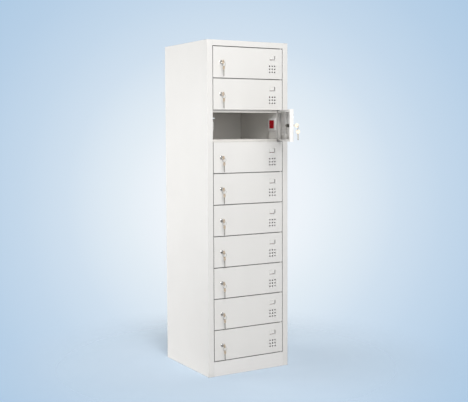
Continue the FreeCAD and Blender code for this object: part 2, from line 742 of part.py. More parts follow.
# One door, drawn round its hinge axis at its mid height
def door_pan():
    """The door: a pan with returns and inner lips, a stiffener, vents and a pressed card holder."""
    body = new_body("door_master")
    low, high = "-door_height / 2", "door_height / 2"
    block = pad(body, "block", "XZ_Plane", "door_face", "door_back",
                lambda sketch: rectangle(sketch, "door_free_edge", "hinge_edge", low, high))

    def face_edge(middle, along):
        return near(middle.y, "door_face")

    dress_edges(body, "face_bend", block, "bend_radius", face_edge, kind="Chamfer")

    def inset(sketch, margin):
        rectangle(sketch, f"door_free_edge + {margin}", f"hinge_edge - {margin}", f"{low} + {margin}",
                  f"{high} - {margin}")

    pocket(body, "inside", "XZ_Plane", "door_face + gauge", "door_back - gauge",
           lambda sketch: inset(sketch, "gauge"))
    pocket(body, "mouth", "XZ_Plane", "door_back - gauge", "door_back",
           lambda sketch: inset(sketch, "door_lip"))
    middle = "(door_free_edge + hinge_edge) / 2"
    near_wall, far_wall = f"{middle} - stiffener_width / 2", f"{middle} + stiffener_width / 2"
    floor, crest = "door_face + gauge", "door_face + stiffener_depth"
    pad(body, "stiffener", "XY_Plane", f"{low} + gauge", f"{high} - gauge",
        lambda sketch: outline(sketch, [
            (near_wall, floor), (near_wall, crest), (far_wall, crest), (far_wall, floor),
            (f"{far_wall} - gauge", floor), (f"{far_wall} - gauge", f"{crest} - gauge"),
            (f"{near_wall} + gauge", f"{crest} - gauge"), (f"{near_wall} + gauge", floor),
        ]))
    holder_across = "hinge_edge - holder_inset - holder_width / 2"
    holder_up = "door_height / 2 - holder_drop - holder_height / 2"
    pad(body, "card_holder", "XZ_Plane", "door_face - holder_proud", "door_face",
        lambda sketch: centred_rectangle(sketch, holder_across, holder_up, "holder_width", "holder_height"))
    pocket(body, "card_window", "XZ_Plane", "door_face - holder_proud", "door_face",
           lambda sketch: centred_rectangle(sketch, holder_across, holder_up,
                                            "holder_width - 2 * holder_rim", "holder_height - 2 * holder_rim"))

    def vents(sketch):
        for column in range(3):
            for row in range(3):
                polygon(sketch, f"hinge_edge - vent_inset - {column} * vent_pitch",
                        f"{high} - vent_drop - {row} * vent_pitch", "vent_radius", HOLE_CORNERS)

    pocket(body, "vents", "XZ_Plane", "door_face", "door_face + gauge", vents)
    pocket(body, "lock_hole", "XZ_Plane", "door_face", "door_face + gauge",
           lambda sketch: polygon(sketch, "lock_across", "0", "barrel_radius + clip_clearance",
                                  ROUND_CORNERS, flats=True))
    pocket(body, "pivot_holes", "XY_Plane", low, high,
           lambda sketch: polygon(sketch, "0", "0", "pin_radius + pin_clearance", HOLE_CORNERS, flats=True))
    return body


def lock_barrel():
    """The lock's housing with its rosette in front of the door, and the nut that clamps it from behind."""
    body = new_body("lock_barrel_master")
    bore = "plug_radius + plug_clearance"
    pad(body, "rosette", "XZ_Plane", "door_face - rosette_proud", "door_face",
        lambda sketch: polygon(sketch, "lock_across", "0", "rosette_radius", ROUND_CORNERS))
    pad(body, "barrel", "XZ_Plane", "door_face", "barrel_end",
        lambda sketch: polygon(sketch, "lock_across", "0", "barrel_radius", ROUND_CORNERS))
    pocket(body, "bore", "XZ_Plane", "door_face - rosette_proud", "barrel_end",
           lambda sketch: polygon(sketch, "lock_across", "0", bore, ROUND_CORNERS, flats=True))

    def nut(sketch):
        polygon(sketch, "lock_across", "0", "nut_radius", 6)
        polygon(sketch, "lock_across", "0", "barrel_radius", ROUND_CORNERS, flats=True)

    last = pad(body, "nut", "XZ_Plane", "door_face + gauge", "door_face + gauge + nut_thickness", nut)
    body.Tip = last
    return body


def lock_core():
    """The plug, the cam on its end, the cam screw and the key in it."""
    body = new_body("lock_core_master")
    face = "door_face - rosette_proud"
    pad(body, "plug", "XZ_Plane", face, "plug_end",
        lambda sketch: polygon(sketch, "lock_across", "0", "plug_radius", ROUND_CORNERS))
    half = "cam_width / 2"

    def cam(sketch):
        outline(sketch, [
            (f"lock_across - {half}", f"{half} / 2"), (f"lock_across - {half} / 2", half),
            (f"lock_across + {half} / 2", half), (f"lock_across + {half}", f"{half} / 2"),
            (f"lock_across + {half}", f"{half} / 2 - cam_reach"), (f"lock_across + {half} / 2", "-cam_reach"),
            (f"lock_across - {half} / 2", "-cam_reach"), (f"lock_across - {half}", f"{half} / 2 - cam_reach"),
        ])

    pad(body, "cam", "XZ_Plane", "plug_end", "plug_end + cam_gauge", cam)
    pad(body, "screw", "XZ_Plane", "plug_end + cam_gauge", "plug_end + cam_gauge + screw_head",
        lambda sketch: polygon(sketch, "lock_across", "0", "screw_radius", 6))
    across_low, across_high = "lock_across - key_gauge / 2", "lock_across + key_gauge / 2"
    pad(body, "key", "YZ_Plane", across_low, across_high,
        lambda sketch: key_plate(sketch, "bow_centre", "0", 0, f"{face} - bow_centre"))
    pocket(body, "key_hole", "YZ_Plane", across_low, across_high,
           lambda sketch: polygon(sketch, "ring_pivot", "0", "key_hole", KEY_HOLE_CORNERS, flats=True))
    return body


def spare_key():
    """The key ring through the lock key's bow, and the second key hanging from it."""
    body = new_body("spare_key_master")
    centre = "-wire_drop - ring_radius"

    def ring(sketch):
        polygon(sketch, "lock_across", centre, "ring_radius + ring_wire / 2", ROUND_CORNERS, flats=True)
        polygon(sketch, "lock_across", centre, "ring_radius - ring_wire / 2", ROUND_CORNERS, flats=True)

    pad(body, "ring", "XZ_Plane", "ring_pivot - ring_wire / 2", "ring_pivot + ring_wire / 2", ring)
    across_low, across_high = "lock_across - key_gauge / 2", "lock_across + key_gauge / 2"
    pad(body, "spare", "YZ_Plane", across_low, across_high,
        lambda sketch: key_plate(sketch, "ring_pivot", "-spare_bow_drop", 270, "key_bow + key_blade"))
    pocket(body, "spare_hole", "YZ_Plane", across_low, across_high,
           lambda sketch: polygon(sketch, "ring_pivot", "-spare_hole_drop", "key_hole",
                                  KEY_HOLE_CORNERS, flats=True))
    return body


def hang_on_door(master, name, number):
    """A copy of a door's piece on the hinge axis of the numbered door, turned if that door stands open."""
    copy = doc.addObject("App::Link", f"{name}_{number:02d}")
    copy.Label = f"{name}_{number:02d}"
    copy.LinkedObject = master
    copy.Placement.Rotation = FreeCAD.Rotation(FreeCAD.Vector(0, 0, 1), 1)
    bind(copy, "Placement.Base.x", "pivot_across")
    bind(copy, "Placement.Base.y", "pivot_back")
    bind(copy, "Placement.Base.z", f"first_door - {number - 1} * pitch")
    is_open = number == round(value_of("open_door"))
    bind(copy, "Placement.Rotation.Angle", "open_angle" if is_open else "0")
    return copy


nodes = [
    side_panel("side_panel_left", -1), side_panel("side_panel_right", 1), top_panel(), plinth_panel(),
    bottom_panel(), back_panel(), shelves(), power_duct(), socket_plates(), socket_modules(),
    terminal_blocks(), supply_cable(), cable_clips(), mains_inlet(), inlet_pins(), hinge_brackets(),
    hinge_pins(), latch_keepers(),
]
masters = {
    "door": door_pan(), "lock_barrel": lock_barrel(), "lock_core": lock_core(), "spare_key": spare_key(),
}
for number in range(1, round(value_of("door_count")) + 1):
    for name, master in masters.items():
        nodes.append(hang_on_door(master, name, number))
doc.recompute()

faults = [item.Name for item in doc.Objects if "Invalid" in item.State or "Error" in item.State]
if faults:
    raise RuntimeError(f"objects that failed: {faults}")
for node in nodes:
    shape = Part.getShape(node)
    if shape.isNull() or not shape.isValid() or not shape.Solids:
        raise RuntimeError(f"{node.Label} has no valid solid")

os.makedirs("parts", exist_ok=True)
for node in nodes:
    Part.getShape(node).exportStep(f"parts/{node.Label}.step")
    print(f"{node.Label}: {len(Part.getShape(node).Solids)} solid(s)")
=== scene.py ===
"""Looks of a ten-door laptop charging cabinet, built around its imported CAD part."""

import logging
import math
from collections.abc import Callable, Sequence
from dataclasses import dataclass, field
from enum import Enum

import bmesh
import bpy
from mathutils import Matrix, Vector
from mathutils.geometry import tessellate_polygon


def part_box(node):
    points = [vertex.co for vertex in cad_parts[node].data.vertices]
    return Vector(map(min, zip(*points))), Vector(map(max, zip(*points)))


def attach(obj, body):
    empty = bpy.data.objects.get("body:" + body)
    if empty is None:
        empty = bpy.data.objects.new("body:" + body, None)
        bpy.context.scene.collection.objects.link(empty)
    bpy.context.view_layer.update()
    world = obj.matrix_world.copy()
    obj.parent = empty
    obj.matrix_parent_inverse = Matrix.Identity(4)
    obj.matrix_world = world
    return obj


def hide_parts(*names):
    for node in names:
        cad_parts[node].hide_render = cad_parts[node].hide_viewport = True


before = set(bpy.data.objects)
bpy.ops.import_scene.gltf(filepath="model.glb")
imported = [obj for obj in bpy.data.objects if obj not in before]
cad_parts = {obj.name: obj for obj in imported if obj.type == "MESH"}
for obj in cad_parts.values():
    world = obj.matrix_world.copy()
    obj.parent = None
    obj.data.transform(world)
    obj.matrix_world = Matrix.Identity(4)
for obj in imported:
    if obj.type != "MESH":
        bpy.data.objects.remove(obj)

LOG = logging.getLogger("charging_cabinet")
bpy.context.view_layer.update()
DOORS = range(1, 11)
PITCH = 0.1668
MM = 0.001

FLAT_WIDTH = 1.3 * MM

Point2 = tuple[float, float]
Place = Callable[[float, float, float], Vector]
IsFlat = Callable[[bmesh.types.BMFace], bool]


class Body(Enum):
    """The moving bodies of the part, with the number of their compartment left open."""

    CABINET = "cabinet"
    DOOR = "door_{:02d}"
    LOCK = "lock_{:02d}"
    SPARE_KEY = "spare_key_{:02d}"

    def of(self, number: int = 0) -> str:
        """Name of the body of one compartment."""
        return self.value.format(number)


class Slot(Enum):
    """The material slots of the record."""

    PAINT = "white_paint"
    WHITE_PLASTIC = "white_plastic"
    RED_PLASTIC = "red_plastic"
    GREY_PLASTIC = "grey_plastic"
    BLACK_PLASTIC = "black_plastic"
    JACKET = "cable_jacket"
    BRASS = "pin_brass"
    ZINC = "zinc_steel"
    CHROME = "lock_chrome"
    NICKEL = "key_nickel"


def linear(colour: tuple[int, int, int]) -> tuple[float, float, float, float]:
    """Turns a colour as a screen shows it into the light values that shaders take.

    Args:
        colour: Red, green and blue from 0 to 255.

    Returns:
        The four values of a colour socket.
    """
    channels = []
    for value in colour:
        share = value / 255
        low = share <= 0.04045
        channels.append(share / 12.92 if low else ((share + 0.055) / 1.055) ** 2.4)
    return (*channels, 1.0)


class Graph:
    """A node tree with short calls for its nodes and links."""

    def __init__(self, tree: bpy.types.NodeTree) -> None:
        """Starts with an empty tree.

        Args:
            tree: The node tree to fill.
        """
        self.tree = tree
        self.tree.nodes.clear()

    def add(self, kind: str, inputs: dict | None = None, **settings: object) -> bpy.types.Node:
        """Adds a node, sets it and links or sets its inputs.

        Args:
            kind: Blender's type name of the node.
            inputs: Socket name or number to a plain value or to the output socket linked to it.
            settings: Attributes of the node itself.

        Returns:
            The new node.
        """
        node = self.tree.nodes.new(kind)
        for name, value in settings.items():
            setattr(node, name, value)
        for socket, value in (inputs or {}).items():
            if isinstance(value, bpy.types.NodeSocket):
                self.tree.links.new(value, node.inputs[socket])
            else:
                node.inputs[socket].default_value = value
        return node

    def grain(self, scale: float, detail: float = 2.0, stretch: Sequence[float] = (1, 1, 1)) -> bpy.types.NodeSocket:
        """Adds a noise that is fixed to the piece.

        Args:
            scale: Number of grains in a metre.
            detail: Number of finer layers in it.
            stretch: How much denser it is along each axis.

        Returns:
            The noise's output, from 0 to 1.
        """
        where = self.add("ShaderNodeTexCoord").outputs["Object"]
        spread = self.add("ShaderNodeMapping", {"Vector": where, "Scale": tuple(stretch)})
        noise = self.add(
            "ShaderNodeTexNoise", {"Vector": spread.outputs["Vector"], "Scale": scale, "Detail": detail}
        )
        return noise.outputs["Fac"]

    def spread(self, source: bpy.types.NodeSocket, low: float, high: float) -> bpy.types.NodeSocket:
        """Maps a value from 0.3 to 0.7 onto another range.

        Args:
            source: The value to map.
            low: What 0.3 becomes.
            high: What 0.7 becomes.

        Returns:
            The mapped value.
        """
        limits = {"Value": source, "From Min": 0.3, "From Max": 0.7, "To Min": low, "To Max": high}
        return self.add("ShaderNodeMapRange", limits).outputs["Result"]

    def blend(self, share: bpy.types.NodeSocket, first: tuple, second: tuple) -> bpy.types.NodeSocket:
        """Mixes two colours.

        Args:
            share: How much of the second colour there is.
            first: The colour at 0.
            second: The colour at 1.

        Returns:
            The mixed colour.
        """
        mix = self.add("ShaderNodeMix", data_type="RGBA")
        self.tree.links.new(share, mix.inputs["Factor"])
        mix.inputs["A"].default_value = first
        mix.inputs["B"].default_value = second
        return next(out for out in mix.outputs if out.type == "RGBA")


@dataclass(frozen=True)
class Finish:
    """What all finishes share: a name, a colour and a way to become a material."""

    name: str
    slot: Slot
    colour: tuple[int, int, int]
    roughness: float

    def shade(self, graph: Graph) -> dict:
        """Gives the shader's inputs. Each finish has its own.

        Args:
            graph: The material's nodes.

        Returns:
            Socket name to value or link.
        """
        return {"Base Color": linear(self.colour), "Roughness": self.roughness}

    def material(self) -> bpy.types.Material:
        """Makes the material, or finds it when it exists.

        Returns:
            The material.
        """
        found = bpy.data.materials.get(self.name)
        if found:
            return found
        made = bpy.data.materials.new(self.name)
        made.use_nodes = True
        made.diffuse_color = linear(self.colour)
        graph = Graph(made.node_tree)
        shader = graph.add("ShaderNodeBsdfPrincipled", self.shade(graph))
        graph.add("ShaderNodeOutputMaterial", {"Surface": shader.outputs["BSDF"]})
        return made

    def tint(self, graph: Graph, scale: float, amount: float, detail: float = 3.0) -> bpy.types.NodeSocket:
        """Lets the colour drift a little over the piece.

        Args:
            graph: The material's nodes.
            scale: Number of patches in a metre.
            amount: How far the darker patches fall, as a share of the colour.
            detail: Number of finer layers.

        Returns:
            The colour.
        """
        full = linear(self.colour)
        less = (*(value * (1 - amount) for value in full[:3]), 1.0)
        return graph.blend(graph.spread(graph.grain(scale, detail), 0.0, 1.0), full, less)

    def relief(self, graph: Graph, height: bpy.types.NodeSocket, depth: float, strength: float) -> bpy.types.NodeSocket:
        """Turns a height into a surface direction.

        Args:
            graph: The material's nodes.
            height: The height, from 0 to 1.
            depth: What 1 means, in metres.
            strength: How much of it shows.

        Returns:
            The direction for the shader's Normal socket.
        """
        bump = graph.add("ShaderNodeBump", {"Height": height, "Distance": depth, "Strength": strength})
        return bump.outputs["Normal"]


@dataclass(frozen=True)
class PowderCoat(Finish):
    """Baked powder paint: fine orange peel, a film of handling marks, and painted shade that darkens its colour in
    narrow gaps.
    """

    peel_scale: float = 420.0
    peel_depth: float = 0.00006
    marks: float = 0.02
    # Painted shade in gaps: how far it looks for nearby surfaces, and the share of the colour left where it is deepest.
    gap_reach: float = 0.010
    gap_shade: float = 0.12

    def shade(self, graph: Graph) -> dict:
        """Gives the paint's shader inputs.

        Args:
            graph: The material's nodes.

        Returns:
            Socket name to value or link.
        """
        peel = graph.grain(self.peel_scale, 2.0)
        streaks = graph.grain(9.0, 4.0, (1, 1, 0.35))
        wiped = graph.spread(streaks, self.roughness - 0.05, self.roughness + 0.07)
        # Painted shade: the colour is darkened where ambient occlusion finds surfaces close by, in gaps and corners.
        open_air = graph.add("ShaderNodeAmbientOcclusion", {"Distance": self.gap_reach}, samples=8)
        painted_gap_shade = graph.add(
            "ShaderNodeMapRange",
            {
                "Value": open_air.outputs["AO"], "From Min": 0.1, "From Max": 0.6,
                "To Min": self.gap_shade, "To Max": 1.0,
            },
        )
        paint = graph.add(
            "ShaderNodeVectorMath", {0: self.tint(graph, 6.0, self.marks), "Scale": painted_gap_shade.outputs["Result"]},
            operation="SCALE",
        )
        return {
            "Base Color": paint.outputs["Vector"],
            "Roughness": wiped,
            "Normal": self.relief(graph, peel, self.peel_depth, 0.35),
            "Specular IOR Level": 0.4,
        }


@dataclass(frozen=True)
class MouldedPlastic(Finish):
    """Moulded plastic with a fine spark-eroded grain."""

    grain_scale: float = 1400.0
    grain_depth: float = 0.00003
    gloss: float = 0.5

    def shade(self, graph: Graph) -> dict:
        """Gives the plastic's shader inputs.

        Args:
            graph: The material's nodes.

        Returns:
            Socket name to value or link.
        """
        grain = graph.grain(self.grain_scale, 1.0)
        worn = graph.spread(graph.grain(60.0, 3.0), self.roughness - 0.04, self.roughness + 0.08)
        return {
            "Base Color": self.tint(graph, 40.0, 0.05),
            "Roughness": worn,
            "Normal": self.relief(graph, grain, self.grain_depth, 0.3),
            "Specular IOR Level": self.gloss,
        }


@dataclass(frozen=True)
class PlatedMetal(Finish):
    """Plated steel or brass, with fine scratches along one direction."""

    scratch_scale: float = 900.0
    stretch: tuple[float, float, float] = (1.0, 1.0, 0.08)
    patches: float = 0.06

    def shade(self, graph: Graph) -> dict:
        """Gives the metal's shader inputs.

        Args:
            graph: The material's nodes.

        Returns:
            Socket name to value or link.
        """
        scratch = graph.grain(self.scratch_scale, 2.0, self.stretch)
        dull = graph.spread(graph.grain(180.0, 3.0), self.roughness - 0.05, self.roughness + 0.1)
        return {
            "Base Color": self.tint(graph, 120.0, self.patches),
            "Roughness": dull,
            "Metallic": 1.0,
            "Normal": self.relief(graph, scratch, 0.00002, 0.25),
        }


WHITE_PAINT = PowderCoat("white_powder_coat", Slot.PAINT, (238, 236, 232), 0.42)
INNER_PAINT = PowderCoat("compartment_powder_coat", Slot.PAINT, (232, 229, 224), 0.48, marks=0.05)
# The plinth's paint is the white powder coat made lighter: painted light for the light bounced up from the floor.
PLINTH_PAINT_PAINTED_BOUNCE = PowderCoat("plinth_powder_coat_painted_bounce", Slot.PAINT, (243, 241, 238), 0.45)
PLATE_WHITE = MouldedPlastic("socket_plate_white", Slot.WHITE_PLASTIC, (238, 238, 236), 0.32)
SOCKET_RED = MouldedPlastic("socket_red", Slot.RED_PLASTIC, (178, 4, 26), 0.34, gloss=0.2)
SOCKET_WELL = MouldedPlastic("socket_slot_dark", Slot.BLACK_PLASTIC, (26, 10, 12), 0.6)
TERMINAL_GREY = MouldedPlastic("terminal_grey", Slot.GREY_PLASTIC, (176, 178, 182), 0.5)
INLET_BLACK = MouldedPlastic("inlet_black", Slot.BLACK_PLASTIC, (34, 34, 36), 0.45)
CABLE_GREY = MouldedPlastic("cable_jacket_dark", Slot.JACKET, (52, 52, 54), 0.55, grain_scale=600.0)
CONTACT_BRASS = PlatedMetal("contact_brass", Slot.BRASS, (214, 184, 120), 0.25)
ZINC_STEEL = PlatedMetal("zinc_plated_steel", Slot.ZINC, (118, 116, 110), 0.5, patches=0.12)
LOCK_CHROME = PlatedMetal("lock_chrome", Slot.CHROME, (228, 218, 194), 0.30, scratch_scale=500.0)
KEY_BOW = PlatedMetal("key_bow_worn_nickel", Slot.NICKEL, (222, 206, 186), 0.46)
KEY_NICKEL = PlatedMetal("key_blade_nickel", Slot.NICKEL, (160, 158, 152), 0.42)


def turn(centre: Point2, radius: float, steps: int, start: float = 0.0) -> list[Point2]:
    """Points round a circle.

    Args:
        centre: Middle of the circle.
        radius: Its radius.
        steps: Number of points.
        start: Angle of the first point, in degrees.

    Returns:
        The points, anticlockwise.
    """
    points = []
    for step in range(steps):
        angle = math.radians(start) + math.tau * step / steps
        points.append((centre[0] + radius * math.cos(angle), centre[1] + radius * math.sin(angle)))
    return points


def rounded(low: Point2, high: Point2, radius: float, steps: int = 4) -> list[Point2]:
    """Points round a rectangle with rounded corners.

    Args:
        low: Its lower left corner.
        high: Its upper right corner.
        radius: Radius of its corners.
        steps: Number of pieces in each corner's arc.

    Returns:
        The points, anticlockwise.
    """
    middles = (
        (high[0] - radius, high[1] - radius),
        (low[0] + radius, high[1] - radius),
        (low[0] + radius, low[1] + radius),
        (high[0] - radius, low[1] + radius),
    )
    points = []
    for corner, middle in enumerate(middles):
        for step in range(steps + 1):
            angle = math.pi / 2 * (corner + step / steps)
            points.append((middle[0] + radius * math.cos(angle), middle[1] + radius * math.sin(angle)))
    return points


def wide(face: bmesh.types.BMFace) -> bool:
    """Tells whether a face is too wide to be part of a rounding."""
    return min(edge.calc_length() for edge in face.edges) > FLAT_WIDTH


class Workpiece:
    """Collects the faces of one piece, in metres, and turns them into objects."""

    def __init__(self, name: str, *finishes: Finish) -> None:
        """Starts an empty piece.

        Args:
            name: Name of its mesh.
            finishes: Its finishes, the first one for faces that name none.
        """
        self.name = name
        self.finishes = finishes
        self.mesh = bmesh.new()

    def _take(self, part: bmesh.types.BMesh, bevel: float, finish: int, is_flat: IsFlat) -> None:
        """Rounds the sharp edges of a closed part and adds it to the piece.

        Args:
            part: The part, which is used up.
            bevel: Width of the rounding.
            finish: Number of its finish.
            is_flat: Tells which faces keep their own flat shading.
        """
        bmesh.ops.remove_doubles(part, verts=part.verts, dist=1e-7)
        bmesh.ops.recalc_face_normals(part, faces=part.faces)
        if bevel:
            sharp = [edge for edge in part.edges if edge.calc_face_angle(0.0) > math.radians(30)]
            bmesh.ops.bevel(
                part, geom=sharp, offset=bevel, segments=2, profile=0.5, affect="EDGES", clamp_overlap=True,
            )
        part.normal_update()
        for face in part.faces:
            face.material_index = finish
            face.smooth = not is_flat(face)
        carrier = bpy.data.meshes.new("carrier")
        part.to_mesh(carrier)
        part.free()
        self.mesh.from_mesh(carrier)
        bpy.data.meshes.remove(carrier)

    def plate(
        self,
        outline: Sequence[Point2],
        low: float,
        high: float,
        place: Place,
        holes: Sequence[Sequence[Point2]] = (),
        bevel: float = 0.0,
        finish: int = 0,
    ) -> None:
        """Adds a flat plate with holes through it.

        Args:
            outline: Points round its edge.
            low: Where its first face lies.
            high: Where its second face lies.
            place: Turns two plate coordinates and a height into a point.
            holes: Points round each hole.
            bevel: Width of the rounding on its edges.
            finish: Number of its finish.
        """
        part = bmesh.new()
        loops = [list(outline), *[list(hole) for hole in holes]]
        triangles = tessellate_polygon([[Vector((u, v, 0)) for u, v in loop] for loop in loops])
        faces = []
        for level in (low, high):
            faces.append([[part.verts.new(place(u, v, level)) for u, v in loop] for loop in loops])
        for side in faces:
            flat = [corner for loop in side for corner in loop]
            for triangle in triangles:
                part.faces.new([flat[index] for index in triangle])
        for first, second in zip(*faces):
            for here, there in zip(range(len(first)), [*range(1, len(first)), 0]):
                part.faces.new((first[here], first[there], second[there], second[here]))
        across = (place(0, 0, 1) - place(0, 0, 0)).normalized()
        self._take(part, bevel, finish, lambda face: abs(face.normal.dot(across)) > 0.999 or wide(face))

    def lathe(
        self, profile: Sequence[Point2], place: Place, steps: int = 40, finish: int = 0, closed: bool = True
    ) -> None:
        """Adds a turned part.

        Args:
            profile: Radius and place along the axis of each point of its section.
            place: Turns two coordinates across the axis and one along it into a point.
            steps: Number of steps round the axis.
            finish: Number of its finish.
            closed: Whether the section's last point joins its first.
        """
        part = bmesh.new()
        rings = []
        for radius, along in profile:
            if radius < 1e-7:
                rings.append([part.verts.new(place(0.0, 0.0, along))] * steps)
            else:
                rings.append([part.verts.new(place(u, v, along)) for u, v in turn((0, 0), radius, steps)])
        pairs = list(zip(rings, rings[1:]))
        if closed:
            pairs.append((rings[-1], rings[0]))
        for first, second in pairs:
            for here in range(steps):
                there = (here + 1) % steps
                corners = []
                for corner in (first[here], first[there], second[there], second[here]):
                    if corner not in corners:
                        corners.append(corner)
                if len(corners) > 2:
                    part.faces.new(corners)
        self._take(part, 0.0, finish, lambda face: False)

    def frame(
        self,
        profile: Sequence[Point2],
        low: Point2,
        high: Point2,
        place: Place,
        closed: bool = True,
        finish: int = 0,
    ) -> None:
        """Adds a section that runs round a rectangle, mitred at its corners.

        Args:
            profile: Distance inside the rectangle and height of each point of the section.
            low: Lower left corner of the rectangle.
            high: Upper right corner of the rectangle.
            place: Turns two coordinates and a height into a point.
            closed: Whether the section's last point joins its first.
            finish: Number of its finish.
        """
        part = bmesh.new()
        rings = []
        for inset, height in profile:
            corners = (
                (low[0] + inset, low[1] + inset),
                (high[0] - inset, low[1] + inset),
                (high[0] - inset, high[1] - inset),
                (low[0] + inset, high[1] - inset),
            )
            rings.append([part.verts.new(place(u, v, height)) for u, v in corners])
        pairs = list(zip(rings, rings[1:]))
        if closed:
            pairs.append((rings[-1], rings[0]))
        for first, second in pairs:
            for here in range(4):
                there = (here + 1) % 4
                part.faces.new((first[here], first[there], second[there], second[here]))
        self._take(part, 0.0, finish, wide)

    def data(self, smooth_below: float = 32.0) -> bpy.types.Mesh:
        """Closes the piece.

        Args:
            smooth_below: Edges that turn less than this many degrees are shaded smooth.

        Returns:
            The mesh, with its materials.
        """
        made = bpy.data.meshes.new(self.name)
        self.mesh.to_mesh(made)
        self.mesh.free()
        smooth = [polygon.use_smooth for polygon in made.polygons]
        made.set_sharp_from_angle(angle=math.radians(smooth_below))
        made.polygons.foreach_set("use_smooth", smooth)
        for finish in self.finishes:
            made.materials.append(finish.material())
        return made


def show(name: str, mesh: bpy.types.Mesh, at: Matrix, body: str, node: str) -> bpy.types.Object:
    """Puts a piece in its place, on its body, in place of its CAD node.

    Args:
        name: Name of the piece.
        mesh: Its mesh.
        at: Where it goes.
        body: The body it moves with.
        node: The CAD node it stands for.

    Returns:
        The new object.
    """
    piece = bpy.data.objects.new(name, mesh)
    bpy.context.scene.collection.objects.link(piece)
    piece.matrix_world = at
    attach(piece, body)
    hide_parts(node)
    return piece


def dress(node: str, finish: Finish, soften: float = 0.0) -> None:
    """Gives a CAD node its material and, where asked, softer edges.

    Args:
        node: Name of the node.
        finish: Its finish.
        soften: Width of the rounding on its edges, in metres.
    """
    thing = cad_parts[node]
    thing.data.materials.clear()
    thing.data.materials.append(finish.material())
    if soften:
        weld = thing.modifiers.new("weld", "WELD")
        weld.merge_threshold = 0.00001
        round_off = thing.modifiers.new("soften", "BEVEL")
        round_off.width = soften
        round_off.segments = 2
        round_off.limit_method = "ANGLE"
        round_off.angle_limit = math.radians(40)
        round_off.harden_normals = True


def facing_front(u: float, v: float, depth: float) -> Vector:
    """Places plate coordinates on a face that looks to the front."""
    return Vector((u, depth, v))


def facing_side(u: float, v: float, across: float) -> Vector:
    """Places plate coordinates on a face that looks to the side."""
    return Vector((across, u, v))


def lying(u: float, v: float, up: float) -> Vector:
    """Places plate coordinates on a level face."""
    return Vector((u, v, up))


@dataclass
class CabinetShell:
    """The folded steel of the cabinet, with its hinge brackets and latch keepers."""

    outer: tuple[str, ...] = ("side_panel_left", "side_panel_right", "top_panel", "bottom_panel")
    edge: float = 0.35 * MM
    first_door: float = 1.6646
    first_gap: float = 1.748
    stile_back: float = -0.224
    pivot: Point2 = (0.2055, -0.243)

    def build(self) -> None:
        """Dresses the panels and makes the back panel, the brackets and the keepers."""
        for node in self.outer:
            dress(node, WHITE_PAINT, self.edge)
        # The plinth takes the lighter copy of the paint, with painted bounce light from the floor.
        dress("plinth_panel", PLINTH_PAINT_PAINTED_BOUNCE, self.edge)
        dress("shelves", INNER_PAINT, 0.2 * MM)
        dress("power_duct", WHITE_PAINT, 0.2 * MM)
        dress("hinge_pins", ZINC_STEEL)
        LOG.info("cabinet shell: %d outer panels, plinth, shelves and duct dressed", len(self.outer))
        self.back_panel()
        self.brackets()
        self.keepers()

    def back_panel(self) -> None:
        """Makes the back panel with its vent slots, wall fixing holes and inlet opening."""
        piece = Workpiece("back_panel", WHITE_PAINT)
        low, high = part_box("back_panel")
        slot_half_width, slot_half_height, above_door = 70 * MM, 3 * MM, 47.4 * MM
        holes = []
        for number in DOORS:
            level = self.first_door + above_door - PITCH * (number - 1)
            holes.append(rounded(
                (-slot_half_width, level - slot_half_height), (slot_half_width, level + slot_half_height), 2.9 * MM,
            ))
        for side in (-1, 1):
            holes.append(turn((side * 0.2, 1.7), 4.5 * MM, 28))
        holes.append(rounded((0.18575, 0.02975), (0.21425, 0.05025), 1.5 * MM))
        piece.plate(
            rounded((low[0], low[2]), (high[0], high[2]), 1.0 * MM, 2), low[1], high[1], facing_front,
            holes=holes, bevel=0.2 * MM,
        )
        show("rear_cover", piece.data(), Matrix(), Body.CABINET.of(), "back_panel")
        LOG.info("back panel: %d openings", len(holes))

    def brackets(self) -> None:
        """Makes the hinge brackets: in each gap a tab with a round nose, on a foot behind it."""
        piece = Workpiece("hinge_brackets", WHITE_PAINT)
        radius, half_plate, half_foot = 6 * MM, 1.2 * MM, 10 * MM
        foot_front = self.stile_back - 2 * MM
        nose = [point for point in turn(self.pivot, radius, 32, 180.0) if point[1] <= self.pivot[1] + 1e-6]
        tab = [*nose, (self.pivot[0] + radius, foot_front + MM), (self.pivot[0] - radius, foot_front + MM)]
        for gap in range(len(DOORS) + 1):
            level = self.first_gap - PITCH * gap
            piece.plate(
                tab, level - half_plate, level + half_plate, lying,
                holes=[turn(self.pivot, 2.55 * MM, 20)], bevel=0.3 * MM,
            )
            piece.plate(
                rounded(
                    (0.1975, level - half_foot), (self.pivot[0] + 2 * radius, level + half_foot), 1.5 * MM,
                ),
                foot_front, self.stile_back, facing_front, bevel=0.3 * MM,
            )
        show("hinge_tabs", piece.data(), Matrix(), Body.CABINET.of(), "hinge_brackets")
        LOG.info("hinge brackets: %d", len(DOORS) + 1)

    def keepers(self) -> None:
        """Makes the comb-shaped latch keepers, with rounded fingers."""
        piece = Workpiece("latch_keepers", WHITE_PAINT)
        back, root, tip, corner = -0.234, -0.218, -0.198, 1.6 * MM
        finger, spacing, half = 7 * MM, 15.5 * MM, 19 * MM
        for number in DOORS:
            middle = self.first_door - PITCH * (number - 1)
            outline = [(back, middle - half)]
            for place in range(3):
                low = middle - half + spacing * place
                if place > 0:
                    outline.append((root, low))
                for centre, start in ((low + corner, -90), (low + finger - corner, 0)):
                    for step in range(4):
                        angle = math.radians(start + 30 * step)
                        outline.append((tip - corner + corner * math.cos(angle), centre + corner * math.sin(angle)))
                if place < 2:
                    outline.append((root, low + finger))
            outline.append((back, middle + half))
            piece.plate(outline, self.stile_back, self.stile_back + 1.5 * MM, facing_front, bevel=0.25 * MM)
        show("keeper_combs", piece.data(), Matrix(), Body.CABINET.of(), "latch_keepers")
        LOG.info("latch keepers: %d", len(DOORS))


